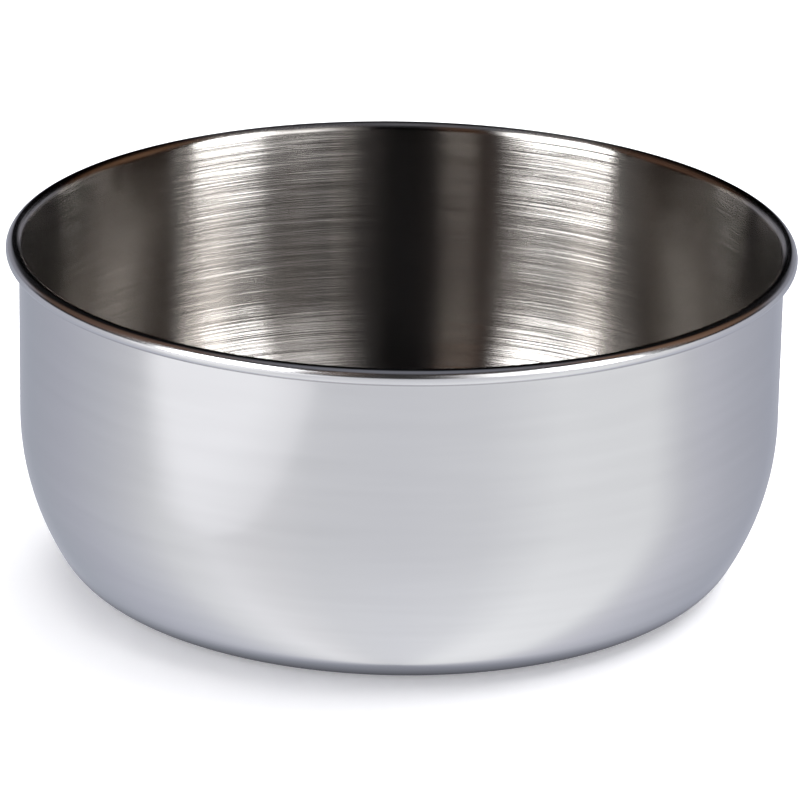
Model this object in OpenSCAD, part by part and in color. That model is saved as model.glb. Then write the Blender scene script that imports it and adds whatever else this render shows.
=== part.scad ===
// Shaving bowl: one round of sheet steel, drawn deep, with its edge rolled
// outwards into a hollow bead. The origin is the middle of the flat base,
// on the face that the bowl stands on, and +Z points out of its mouth.

/* [Bowl] */
// Diameter over the rolled rim
rim_d = 120; // [96:0.5:150]
// Height from the standing face to the top of the rim
bowl_h = 52.4; // [43:0.1:70]
// Thickness of the sheet
sheet_t = 0.5; // [0.4:0.05:0.8]

/* [Rolled rim] */
// Diameter of the bead, over the outside of the curl
bead_d = 2.5; // [2:0.1:4]
// Gap between the cut edge of the curl and the wall
curl_gap = 0.12; // [0.05:0.01:0.3]

/* [Lower curve] */
// Outside radius of the wide curve below the straight wall
shoulder_r = 41; // [30:0.2:50]
// Angle that the wide curve turns through before the tight one starts
shoulder_turn = 30.5; // [20:0.5:40]
// Outside radius of the tight curve that runs into the flat base
heel_r = 9.3; // [5:0.1:12]

/* [Hidden] */
$fn = 240;
steel_grey = [0.78, 0.78, 0.80];
// How far the chords of the section may stand off its true arcs
chord_error = 0.004;

bead_r = bead_d / 2;
bead = [rim_d / 2 - bead_r, bowl_h - bead_r];

// The wall is straight, and its inner face runs into the inner side of the bead
wall_r = bead.x - bead_r + sheet_t;

// The two curves meet on the line through both their centres, so that one
// runs smoothly into the other
centres_apart = shoulder_r - heel_r;
shoulder = [wall_r - shoulder_r, heel_r + centres_apart * sin(shoulder_turn)];
heel = [shoulder.x + centres_apart * cos(shoulder_turn), heel_r];

// The curl goes over the top of the bead to its outermost point, and then turns
// back under it by this angle, where its cut edge stands off the wall by the gap
curl_back = acos((sheet_t + curl_gap - bead_r) / bead_r);

function along(angle, length) = length * [cos(angle), sin(angle)];

// The points of an arc, all but the first, turning by an angle from a start
function arc(centre, r, start, turn) =
    let (step_max = 2 * acos(1 - chord_error / r))
    let (steps = 2 * ceil(abs(turn) / step_max / 2))
    [for (i = [1:steps]) centre + along(start + turn * i / steps, r)];

// One side of the sheet from the middle of the base to the cut edge of the
// curl: the outside at depth 0, the inside at the sheet's own thickness
function side(depth) = concat(
    [[0, depth], [heel.x, depth]],
    arc(heel, heel_r - depth, 270, 90 - shoulder_turn),
    arc(shoulder, shoulder_r - depth, 360 - shoulder_turn, shoulder_turn),
    [[wall_r - depth, bead.y]],
    arc(bead, bead_r - sheet_t + depth, 180, -180),
    arc(bead, bead_r - sheet_t + depth, 0, -curl_back)
);

function reversed(points) = [for (i = [len(points) - 1:-1:0]) points[i]];

module bowl() {
    color(steel_grey)
        rotate_extrude()
            polygon(concat(side(0), reversed(side(sheet_t))));
}

bowl();
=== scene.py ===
# Looks for the shaving bowl: one pressed bowl of stainless steel, polished
# outside, buffed on its rolled rim, and brushed round the inside.
import math

import bpy
import numpy as np
from mathutils import Matrix, Vector


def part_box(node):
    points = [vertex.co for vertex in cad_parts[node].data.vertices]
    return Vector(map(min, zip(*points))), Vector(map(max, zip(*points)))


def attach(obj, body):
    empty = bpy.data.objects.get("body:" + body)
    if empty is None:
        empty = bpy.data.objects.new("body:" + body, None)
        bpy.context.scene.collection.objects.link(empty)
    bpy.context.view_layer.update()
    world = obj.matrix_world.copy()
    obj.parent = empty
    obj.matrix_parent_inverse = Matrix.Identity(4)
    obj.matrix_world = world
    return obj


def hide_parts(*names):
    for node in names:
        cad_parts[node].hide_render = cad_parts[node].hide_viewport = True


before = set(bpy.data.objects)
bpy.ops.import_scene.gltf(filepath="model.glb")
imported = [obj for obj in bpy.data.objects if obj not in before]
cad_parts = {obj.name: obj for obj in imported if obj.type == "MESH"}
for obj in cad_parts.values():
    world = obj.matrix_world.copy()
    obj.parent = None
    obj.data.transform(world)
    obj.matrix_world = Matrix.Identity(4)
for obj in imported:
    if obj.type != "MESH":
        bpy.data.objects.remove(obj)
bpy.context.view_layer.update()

MM = 0.001

# ---------------------------------------------------------------- sizes
# The overall sizes come from the frame, and the rest are the pressing's own.
bowl_low, bowl_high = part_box("bowl")
RIM_R = (bowl_high.x - bowl_low.x) / 2
HEIGHT = bowl_high.z
SHEET = 0.5 * MM
BEAD_R = 1.25 * MM
CURL_GAP = 0.12 * MM
SHOULDER_R = 41 * MM
SHOULDER_TURN = math.radians(30.5)
HEEL_R = 9.3 * MM

WALL_R = RIM_R - 2 * BEAD_R + SHEET
CENTRES_APART = SHOULDER_R - HEEL_R
SHOULDER = Vector((WALL_R - SHOULDER_R, 0, HEEL_R + CENTRES_APART * math.sin(SHOULDER_TURN)))
HEEL = Vector((SHOULDER.x + CENTRES_APART * math.cos(SHOULDER_TURN), 0, HEEL_R))
BEAD = Vector((RIM_R - BEAD_R, 0, HEIGHT - BEAD_R))
CURL_TURN = math.pi + math.acos((SHEET + CURL_GAP - BEAD_R) / BEAD_R)

# Points closer than this are welded, and a point this close to the axis is on it
WELD = 0.002 * MM
ON_AXIS = 0.01 * MM
# Edges sharper than this stay crisp
CRISP_EDGE = math.radians(35)

# How finely the sheet is divided, along its section and round the bowl
ROUND_STEPS = 288
FLAT_STEPS = 8
HEEL_STEPS = 18
SHOULDER_STEPS = 20
WALL_STEPS = 10
CURL_STEPS = 36


# ---------------------------------------------------------------- the pressed bowl
def straight(steps, way):
    """Draws the sheet's section on from its last point, in equal steps along a straight way."""
    for _ in range(steps):
        bpy.ops.mesh.extrude_region_move(TRANSFORM_OT_translate={"value": way / steps})


def bend(steps, turn, centre):
    """Draws the section on round a centre. A positive turn leads from the base up the wall."""
    bpy.ops.mesh.spin(steps=steps, angle=turn, center=centre, axis=(0, 1, 0))


def draw_section():
    """The outside of the sheet as a line: along the base, up the wall, and round the curl."""
    straight(FLAT_STEPS, Vector((HEEL.x, 0, 0)))
    bend(HEEL_STEPS, math.pi / 2 - SHOULDER_TURN, HEEL)
    bend(SHOULDER_STEPS, SHOULDER_TURN, SHOULDER)
    straight(WALL_STEPS, Vector((0, 0, BEAD.z - SHOULDER.z)))
    bend(CURL_STEPS, -CURL_TURN, BEAD)


def press_bowl():
    """Spins the section into a bowl, and gives the sheet its thickness towards the inside."""
    bpy.ops.object.select_all(action="DESELECT")
    bpy.ops.mesh.primitive_plane_add(size=SHEET)
    bowl = bpy.context.object
    bowl.name = "pressed_bowl"
    bpy.ops.object.mode_set(mode="EDIT")
    bpy.ops.mesh.select_mode(type="VERT")
    bpy.ops.mesh.merge(type="CENTER")
    draw_section()
    bpy.ops.mesh.select_all(action="SELECT")
    bpy.ops.mesh.spin(steps=ROUND_STEPS, angle=math.tau, center=(0, 0, 0), axis=(0, 0, 1))
    bpy.ops.mesh.select_all(action="SELECT")
    bpy.ops.mesh.remove_doubles(threshold=WELD)
    bpy.ops.mesh.normals_make_consistent(inside=False)
    bpy.ops.object.mode_set(mode="OBJECT")
    base_faces_up = min(bowl.data.polygons, key=lambda face: face.center.length).normal.z > 0
    solid = bowl.modifiers.new("sheet", "SOLIDIFY")
    solid.thickness = SHEET
    solid.offset = 1 if base_faces_up else -1
    solid.use_even_offset = True
    bpy.ops.object.modifier_apply(modifier=solid.name)
    bpy.ops.object.shade_smooth_by_angle(angle=CRISP_EDGE)
    return bowl


def lay_grain(bowl):
    """A UV map whose U runs round the bowl, as its grain does, and whose V runs along the section."""
    mesh = bowl.data
    corner = np.empty(len(mesh.loops), int)
    mesh.loops.foreach_get("vertex_index", corner)
    place = np.empty(len(mesh.vertices) * 3)
    mesh.vertices.foreach_get("co", place)
    x, y, z = place.reshape(-1, 3)[corner].T
    reach = np.hypot(x, y)
    turn = np.arctan2(y, x) / math.tau
    grain = np.empty((len(corner), 2))
    for face in mesh.polygons:
        span = slice(face.loop_start, face.loop_start + face.loop_total)
        off_axis = reach[span] > ON_AXIS
        first = turn[span][off_axis][0]
        turns = first + (turn[span] - first + 0.5) % 1 - 0.5
        turns[~off_axis] = turns[off_axis].mean()
        grain[span, 0] = turns
    grain[:, 1] = (reach + z) / RIM_R
    layer = mesh.uv_layers.new(name="grain")
    layer.data.foreach_set("uv", grain.ravel())


def finish_faces(bowl, outside, inside, rim):
    """The polish outside, the brushing inside up to the rim's crest, and the buffed rest of the rim."""
    for material in (outside, inside, rim):
        bowl.data.materials.append(material)
    for face in bowl.data.polygons:
        reach = math.hypot(face.center.x, face.center.y)
        if face_is_inside(face, reach):
            face.material_index = 1
        elif face.center.z > BEAD.z - BEAD_R and reach > WALL_R:
            face.material_index = 2
        else:
            face.material_index = 0


def face_is_inside(face, reach):
    """Whether a face is on the brushed side: it looks up from the floor, or in from the wall."""
    if reach > BEAD.x:
        return False
    if face.center.z > BEAD.z:
        return math.hypot(reach - BEAD.x, face.center.z - BEAD.z) > BEAD_R - SHEET / 2
    if reach > WALL_R:
        return False
    to_hollow = Vector((-face.center.x, -face.center.y, HEIGHT - face.center.z))
    return face.normal.dot(to_hollow) > 0


# ---------------------------------------------------------------- colours and nodes
# How a Mix node joins two colours, and a Map Range that starts and ends gently
MIX = {"data_type": "RGBA", "blend_type": "MIX"}
SUM = {"data_type": "RGBA", "blend_type": "ADD"}
SOFTLY = {"interpolation_type": "SMOOTHSTEP"}


def linear(code):
    """An sRGB hex colour as linear red, green, blue and alpha."""
    parts = [int(code[i:i + 2], 16) / 255 for i in (1, 3, 5)]
    return [p / 12.92 if p <= 0.04045 else ((p + 0.055) / 1.055) ** 2.4 for p in parts] + [1.0]


def add(tree, kind, settings=None, inputs=None, stops=()):
    """Adds a node with its settings, its inputs as values or as links, and a ramp's colour stops."""
    node = tree.nodes.new(kind)
    for name, value in (settings or {}).items():
        setattr(node, name, value)
    for name, value in (inputs or {}).items():
        if isinstance(value, bpy.types.NodeSocket):
            tree.links.new(value, node.inputs[name])
        else:
            node.inputs[name].default_value = value
    if stops:
        points = node.color_ramp.elements
        while len(points) < len(stops):
            points.new(1.0)
        for point, (place, code) in zip(points, stops):
            point.position = place
            point.color = linear(code)
    return node


def bare_material(name):
    """A new material with an empty node tree, and that tree."""
    material = bpy.data.materials.new(name)
    material.use_nodes = True
    material.node_tree.nodes.clear()
    return material, material.node_tree


def along_section(tree):
    """Object coordinates with the height swapped for the distance out and up the sheet, in metres."""
    place = add(tree, "ShaderNodeTexCoord").outputs["Object"]
    split = add(tree, "ShaderNodeSeparateXYZ", inputs={"Vector": place})
    flat = add(tree, "ShaderNodeCombineXYZ", inputs={"X": split.outputs["X"], "Y": split.outputs["Y"]})
    reach = add(tree, "ShaderNodeVectorMath", {"operation": "LENGTH"}, {0: flat.outputs["Vector"]})
    along = add(tree, "ShaderNodeMath", {"operation": "ADD"},
                {0: reach.outputs["Value"], 1: split.outputs["Z"]})
    return add(tree, "ShaderNodeCombineXYZ", inputs={
        "X": split.outputs["X"], "Y": split.outputs["Y"], "Z": along.outputs["Value"]}).outputs["Vector"]


def streaks(tree, place, size, detail):
    """Noise drawn out round the bowl: streaks of about this size, a length and a width."""
    length, width = size
    drawn = add(tree, "ShaderNodeMapping", inputs={
        "Vector": place, "Scale": (1 / length, 1 / length, 1 / width)})
    return add(tree, "ShaderNodeTexNoise", inputs={
        "Vector": drawn.outputs["Vector"], "Scale": 1.0, "Detail": detail}).outputs["Fac"]


# Length and width of the belt's grooves, of the lines they make together, and of the wheel's marks
GROOVE = (20 * MM, 0.025 * MM)
FINE_LINE = (14 * MM, 0.2 * MM)
WHEEL_MARK = (30 * MM, 2.5 * MM)
# The steepest lean of a groove's side, as rise over run
GROOVE_SLOPE = 0.45
BRUSHED_ROUGHNESS = 0.18
POLISHED_ROUGHNESS = 0.14
BUFFED_ROUGHNESS = 0.2
# How far the wheel's marks lower and raise its roughness
SHINE_RANGE = (0.94, 1.06)
# The part of a noise's range that it mostly stays in
NOISE_LOW = 0.3
NOISE_HIGH = 0.7


# Stainless steel, brushed round the inside with a fine belt, which leaves
# grooves a few hundredths of a millimetre wide. They lean the face up and down
# the wall and never round it, so lights smear into upright bands. The groups of
# grooves that the eye picks out as fine lines are drawn coarser, 0.2 mm wide.
def brushed_stainless():
    material, tree = bare_material("brushed_stainless_steel")
    place = along_section(tree)
    grooves = streaks(tree, place, GROOVE, 0.0)
    lines = streaks(tree, place, FINE_LINE, 2.0)
    tone = add(tree, "ShaderNodeValToRGB", inputs={"Fac": lines},
               stops=((NOISE_LOW, "#a19e9b"), (NOISE_HIGH, "#b9b6b3")))
    round_the_bowl = add(tree, "ShaderNodeTangent", {"direction_type": "UV_MAP", "uv_map": "grain"})
    face = add(tree, "ShaderNodeNewGeometry").outputs["Normal"]
    up_the_wall = add(tree, "ShaderNodeVectorMath", {"operation": "CROSS_PRODUCT"},
                      {0: face, 1: round_the_bowl.outputs["Tangent"]})
    slope = add(tree, "ShaderNodeMapRange", {"clamp": False},
                {"Value": grooves, "To Min": -GROOVE_SLOPE, "To Max": GROOVE_SLOPE})
    lean = add(tree, "ShaderNodeVectorMath", {"operation": "SCALE"},
               {0: up_the_wall.outputs["Vector"], "Scale": slope.outputs["Result"]})
    tipped = add(tree, "ShaderNodeVectorMath", {"operation": "ADD"},
                 {0: face, 1: lean.outputs["Vector"]})
    grooved = add(tree, "ShaderNodeVectorMath", {"operation": "NORMALIZE"},
                  {0: tipped.outputs["Vector"]})
    shader = add(tree, "ShaderNodeBsdfPrincipled", inputs={
        "Base Color": tone.outputs["Color"], "Metallic": 1.0, "Roughness": BRUSHED_ROUGHNESS,
        "Anisotropic": 1.0, "Anisotropic Rotation": 0.25,
        "Tangent": round_the_bowl.outputs["Tangent"], "Normal": grooved.outputs["Vector"]})
    add(tree, "ShaderNodeOutputMaterial", inputs={"Surface": shader.outputs["BSDF"]})
    return material


# Stainless steel, buffed to a soft shine on the wheel, outside and on the rim.
# It mirrors the table and the lights with slightly soft edges. The wheel runs
# round the bowl and leaves faint marks a few millimetres wide.
def polished_stainless(name, roughness):
    material, tree = bare_material(name)
    place = along_section(tree)
    wheel = streaks(tree, place, WHEEL_MARK, 2.0)
    tone = add(tree, "ShaderNodeValToRGB", inputs={"Fac": wheel},
               stops=((NOISE_LOW, "#bcbcbe"), (NOISE_HIGH, "#bfbfc1")))
    shine = add(tree, "ShaderNodeMapRange", inputs={
        "Value": wheel, "From Min": NOISE_LOW, "From Max": NOISE_HIGH,
        "To Min": roughness * SHINE_RANGE[0], "To Max": roughness * SHINE_RANGE[1]})
    shader = add(tree, "ShaderNodeBsdfPrincipled", inputs={
        "Base Color": tone.outputs["Color"], "Metallic": 1.0, "Roughness": shine.outputs["Result"]})
    add(tree, "ShaderNodeOutputMaterial", inputs={"Surface": shader.outputs["BSDF"]})
    return material


# ---------------------------------------------------------------- studio
def aim(position, target, roll=0.0):
    """A camera or light at a position, looking at a target, turned about its own view axis."""
    back = (Vector(position) - Vector(target)).normalized()
    turn = back.to_track_quat("Z", "Y").to_matrix().to_4x4()
    return Matrix.Translation(position) @ turn @ Matrix.Rotation(roll, 4, "Z")


def by_azimuth(tree, way, stops):
    """A colour by the direction's azimuth: 0 is the camera's side, and 90 is its right."""
    turned = add(tree, "ShaderNodeMapping", {"vector_type": "POINT"},
                 {"Vector": way, "Rotation": (0, 0, math.radians(90))})
    azimuth = add(tree, "ShaderNodeTexGradient", {"gradient_type": "RADIAL"},
                  {"Vector": turned.outputs["Vector"]}).outputs["Fac"]
    turns = [(0.5 + angle / 360, code) for angle, code in stops]
    return add(tree, "ShaderNodeValToRGB", inputs={"Fac": azimuth}, stops=turns).outputs["Color"]


def by_height(tree, way, span):
    """From 0 to 1 as the direction goes from a span's first elevation to its second, in degrees."""
    low, high = span
    rise = add(tree, "ShaderNodeSeparateXYZ", inputs={"Vector": way}).outputs["Z"]
    return add(tree, "ShaderNodeMapRange", inputs={
        "Value": rise, "From Min": math.sin(math.radians(low)),
        "From Max": math.sin(math.radians(high))}).outputs["Result"]


# The two soft light panels, by azimuth in degrees: each fades at its inner edge
PANELS = (
    (-180, "#000000"), (-68, "#000000"), (-66, "#ffffff"), (-41, "#ffffff"), (-36, "#b0b0b0"),
    (-30, "#000000"), (10, "#000000"), (18, "#363636"), (30, "#7c7c7c"), (42, "#727272"),
    (49, "#eeeeee"), (66, "#eeeeee"), (68, "#000000"), (180, "#000000"),
)
PANEL_RADIANCE = 13.5
# How much brighter the panels' low part is
LOW_PART_GAIN = 1.3

# The dark walls of the room, which fade into its grey ceiling
WALLS = (
    (-180, "#000000"), (-140, "#000000"), (-124, "#675143"), (-104, "#6f5141"), (-82, "#674c3c"),
    (-74, "#060504"), (-30, "#060504"), (-25, "#674a36"), (-16, "#5a412f"), (-10, "#020202"),
    (12, "#020202"), (20, "#433328"), (72, "#14100e"), (84, "#574133"), (94, "#916d55"),
    (120, "#795c48"), (136, "#000000"), (180, "#000000"),
)

# A grey sill low on the back walls
SILL = (
    (-180, "#000000"), (-170, "#000000"), (-164, "#a6a6b0"), (-132, "#a6a6b0"), (-122, "#000000"),
    (122, "#000000"), (132, "#a6a6b0"), (164, "#a6a6b0"), (170, "#000000"), (180, "#000000"),
)

# The table as the polished outside shows it: bright in front, and dimmer at the sides and behind
TABLE_GLOW = (
    (-180, "#a2a4ae"), (-150, "#a6aab4"), (-120, "#bec0ca"), (-100, "#cfd1d8"), (-90, "#dadbe0"),
    (-78, "#ebecee"), (-60, "#f8f8fa"), (-42, "#eeeef0"), (-25, "#e6e7ea"), (0, "#e6e7eb"),
    (25, "#ebecef"), (50, "#fcfdfe"), (82, "#f9fafb"), (96, "#dadbe0"), (105, "#d1d2da"),
    (120, "#c1c3cc"), (150, "#a6a9b4"), (180, "#a2a4ae"),
)
TABLE_RADIANCE = 1.45
# How the glow changes from straight under the bowl to far out on the table
NEAR_GAIN = 1.06
FAR_GAIN = 0.9
CEILING = "#8c8e97"
# What the camera sees past the table's edge
BACKDROP = "#f8f8fa"

# Elevations in degrees. Each pair says where a thing has not begun and where it is whole.
TABLE_TO_ROOM = (-2, 0)
WALL_FOOT = (6, 18)
WALL_TO_CEILING = (58, 78)
SILL_TOP = (21, 14)
PANEL_FOOT = (0, 1)
PANEL_TOP = (44, 40)
PANEL_LOW_PART = (2, 14)
TABLE_DEPTH = (-70, -18)


def room():
    """The room and its light panels, with the table's glow below the horizon."""
    world = bpy.data.worlds.new("room")
    bpy.context.scene.world = world
    world.use_nodes = True
    tree = world.node_tree
    tree.nodes.clear()
    way = add(tree, "ShaderNodeTexCoord").outputs["Generated"]
    dark_foot = add(tree, "ShaderNodeVectorMath", {"operation": "SCALE"}, {
        0: by_azimuth(tree, way, WALLS), "Scale": by_height(tree, way, WALL_FOOT)})
    ceilinged = add(tree, "ShaderNodeMix", MIX, {
        0: by_height(tree, way, WALL_TO_CEILING), 6: dark_foot.outputs["Vector"], 7: linear(CEILING)})
    walls = add(tree, "ShaderNodeMix", SUM, {
        0: by_height(tree, way, SILL_TOP), 6: ceilinged.outputs[2], 7: by_azimuth(tree, way, SILL)})
    lower_edge = by_height(tree, way, PANEL_FOOT)
    upper_edge = by_height(tree, way, PANEL_TOP)
    lit = add(tree, "ShaderNodeMath", {"operation": "MULTIPLY"}, {0: lower_edge, 1: upper_edge})
    low_part = add(tree, "ShaderNodeMapRange", inputs={
        "Value": by_height(tree, way, PANEL_LOW_PART),
        "To Min": LOW_PART_GAIN * PANEL_RADIANCE, "To Max": PANEL_RADIANCE})
    strength = add(tree, "ShaderNodeMath", {"operation": "MULTIPLY"},
                   {0: lit.outputs["Value"], 1: low_part.outputs["Result"]})
    panels = add(tree, "ShaderNodeVectorMath", {"operation": "SCALE"}, {
        0: by_azimuth(tree, way, PANELS), "Scale": strength.outputs["Value"]})
    above = add(tree, "ShaderNodeMix", SUM, {0: 1.0, 6: walls.outputs[2], 7: panels.outputs["Vector"]})
    near = add(tree, "ShaderNodeMapRange", inputs={
        "Value": by_height(tree, way, TABLE_DEPTH),
        "To Min": NEAR_GAIN * TABLE_RADIANCE, "To Max": FAR_GAIN * TABLE_RADIANCE})
    glow = add(tree, "ShaderNodeVectorMath", {"operation": "SCALE"}, {
        0: by_azimuth(tree, way, TABLE_GLOW), "Scale": near.outputs["Result"]})
    seen = add(tree, "ShaderNodeMix", MIX, {
        0: by_height(tree, way, TABLE_TO_ROOM), 6: glow.outputs["Vector"], 7: above.outputs[2]})
    straight_on = add(tree, "ShaderNodeLightPath").outputs["Is Camera Ray"]
    pale = add(tree, "ShaderNodeMix", MIX, {
        0: straight_on, 6: seen.outputs[2], 7: linear(BACKDROP)})
    world.cycles_visibility.diffuse = False
    light = add(tree, "ShaderNodeBackground", inputs={"Color": pale.outputs[2], "Strength": 1.0})
    add(tree, "ShaderNodeOutputWorld", inputs={"Surface": light.outputs["Background"]})


TABLE_R = 2.4


def floor():
    """A wide white table top. The steel shows the room's own glow in its place."""
    bpy.ops.object.select_all(action="DESELECT")
    bpy.ops.mesh.primitive_circle_add(vertices=96, radius=TABLE_R, fill_type="NGON")
    top = bpy.context.object
    top.name = "table_top"
    top.visible_glossy = False
    material, tree = bare_material("white_table_top")
    diffuse = add(tree, "ShaderNodeBsdfDiffuse", inputs={"Color": linear("#f0f0f2")})
    glow = add(tree, "ShaderNodeEmission", inputs={"Color": linear("#fafaff"), "Strength": 0.3})
    both = add(tree, "ShaderNodeAddShader", inputs={
        0: diffuse.outputs["BSDF"], 1: glow.outputs["Emission"]})
    add(tree, "ShaderNodeOutputMaterial", inputs={"Surface": both.outputs["Shader"]})
    top.data.materials.append(material)


LAMP_SIZE = 1.6
LAMP_WATTS = 36.0
LAMP_PLACE = (0.25, 0.3, 1.0)


def overhead():
    """A soft lamp over the table, a little to the right. It lights the table only."""
    lamp = bpy.data.lights.new("overhead_lamp", "AREA")
    lamp.size = LAMP_SIZE
    lamp.energy = LAMP_WATTS
    lamp_object = bpy.data.objects.new("overhead_lamp", lamp)
    lamp_object.matrix_world = aim(LAMP_PLACE, (0, 0, 0))
    lamp_object.visible_camera = False
    lamp_object.visible_glossy = False
    bpy.context.scene.collection.objects.link(lamp_object)


# How high the sheets lie over the table, and how brightly the glowing one glows, which paints a bright
# patch into the steel's reflection of the table
OVER_TABLE = MM / 20
PAINTED_PATCH_RADIANCE = 1.56

# The shade under the bowl, from where it is clear to where it is whole, by distance from the axis
SHADE_EDGE = (54 * MM, 45 * MM)
# The painted bright patch's soft edges to the side and to the front, and how its cover grows on outwards
PAINTED_PATCH_SIDE = (-66 * MM, -69 * MM)
PAINTED_PATCH_FRONT = (-56 * MM, -84 * MM)
PAINTED_PATCH_GROWTH = (-67 * MM, -105 * MM)
PAINTED_PATCH_FIRST_COVER = 0.45


def on_table(name, material, x_range, y_range, height):
    """A flat sheet just over the table that shows only in the steel, for painted shade or a painted
    bright patch in its reflections.
    """
    low = Vector((x_range[0], y_range[0], height))
    high = Vector((x_range[1], y_range[1], height))
    bpy.ops.object.select_all(action="DESELECT")
    bpy.ops.mesh.primitive_plane_add(size=1)
    bpy.ops.object.mode_set(mode="EDIT")
    bpy.ops.transform.resize(value=(high.x - low.x, high.y - low.y, 1), center_override=(0, 0, 0))
    bpy.ops.transform.translate(value=(low + high) / 2)
    bpy.ops.object.mode_set(mode="OBJECT")
    sheet = bpy.context.object
    sheet.name = name
    sheet.visible_camera = False
    sheet.visible_diffuse = False
    sheet.visible_shadow = False
    sheet.data.materials.append(material)


def soft_sheet(name, code, radiance, cover):
    """A glowing or dark material that covers as much as its last argument says, from 0 to 1."""
    material, tree = bare_material(name)
    face = add(tree, "ShaderNodeEmission", inputs={"Color": linear(code), "Strength": radiance})
    clear = add(tree, "ShaderNodeBsdfTransparent")
    both = add(tree, "ShaderNodeMixShader", inputs={
        0: cover(tree), 1: clear.outputs["BSDF"], 2: face.outputs["Emission"]})
    add(tree, "ShaderNodeOutputMaterial", inputs={"Surface": both.outputs["Shader"]})
    return material


def under_base(tree):
    """Dark under the middle of the bowl, and clear past its base."""
    place = add(tree, "ShaderNodeTexCoord").outputs["Object"]
    reach = add(tree, "ShaderNodeVectorMath", {"operation": "LENGTH"}, {0: place})
    shade = add(tree, "ShaderNodeMapRange", SOFTLY, {
        "Value": reach.outputs["Value"], "From Min": SHADE_EDGE[0], "From Max": SHADE_EDGE[1]})
    return shade.outputs["Result"]


def painted_patch_cover(tree):
    """The cover of the painted bright patch: clear near the bowl, and fuller away from it."""
    place = add(tree, "ShaderNodeTexCoord").outputs["Object"]
    split = add(tree, "ShaderNodeSeparateXYZ", inputs={"Vector": place})
    edge = add(tree, "ShaderNodeMapRange", SOFTLY, {
        "Value": split.outputs["X"], "From Min": PAINTED_PATCH_SIDE[0], "From Max": PAINTED_PATCH_SIDE[1]})
    bright = add(tree, "ShaderNodeMapRange", inputs={
        "Value": split.outputs["X"], "From Min": PAINTED_PATCH_GROWTH[0], "From Max": PAINTED_PATCH_GROWTH[1],
        "To Min": PAINTED_PATCH_FIRST_COVER})
    sideways = add(tree, "ShaderNodeMath", {"operation": "MULTIPLY"},
                   {0: edge.outputs["Result"], 1: bright.outputs["Result"]})
    forwards = add(tree, "ShaderNodeMapRange", SOFTLY, {
        "Value": split.outputs["Y"], "From Min": PAINTED_PATCH_FRONT[0], "From Max": PAINTED_PATCH_FRONT[1]})
    return add(tree, "ShaderNodeMath", {"operation": "MULTIPLY"},
               {0: sideways.outputs["Value"], 1: forwards.outputs["Result"]}).outputs["Value"]


CAMERA_LENS = 247.3
CAMERA_SHIFT_Y = -0.0529
CAMERA_DISTANCE = 14 * RIM_R
CAMERA_RISE = math.radians(19.81)
CAMERA_ROLL = math.radians(0.98)
CAMERA_TARGET = Vector((0, 0, 0.5496 * RIM_R))


def camera():
    """A long lens a little over the rim, with the horizon turned by a degree."""
    lens = bpy.data.cameras.new("camera")
    lens.lens = CAMERA_LENS
    lens.sensor_width = 36
    lens.shift_y = CAMERA_SHIFT_Y
    lens.clip_start = 0.05
    lens.clip_end = 20
    view = bpy.data.objects.new("camera", lens)
    level = CAMERA_DISTANCE * math.cos(CAMERA_RISE)
    position = CAMERA_TARGET + Vector((0, -level, CAMERA_DISTANCE * math.sin(CAMERA_RISE)))
    view.matrix_world = aim(position, CAMERA_TARGET, CAMERA_ROLL)
    bpy.context.scene.collection.objects.link(view)
    bpy.context.scene.camera = view


# ---------------------------------------------------------------- making
camera()
room()
floor()
overhead()
on_table("base_shade", soft_sheet("shade_under_bowl", "#24242a", 1.0, under_base),
         (-60 * MM, 60 * MM), (-60 * MM, 60 * MM), OVER_TABLE)
# A glowing sheet at the front left that shows only in the steel: painted light, a bright patch painted
# into the steel's reflection of the table.
on_table("painted_reflection_patch", soft_sheet("painted_reflection_patch", "#fdfdff", PAINTED_PATCH_RADIANCE, painted_patch_cover),
         (-400 * MM, -60 * MM), (-400 * MM, -50 * MM), OVER_TABLE)

bowl = press_bowl()
lay_grain(bowl)
finish_faces(
    bowl,
    outside=polished_stainless("polished_stainless_steel", POLISHED_ROUGHNESS),
    inside=brushed_stainless(),
    rim=polished_stainless("buffed_rim_steel", BUFFED_ROUGHNESS),
)
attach(bowl, "root")
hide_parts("bowl")

bpy.context.scene.view_settings.view_transform = "Standard"
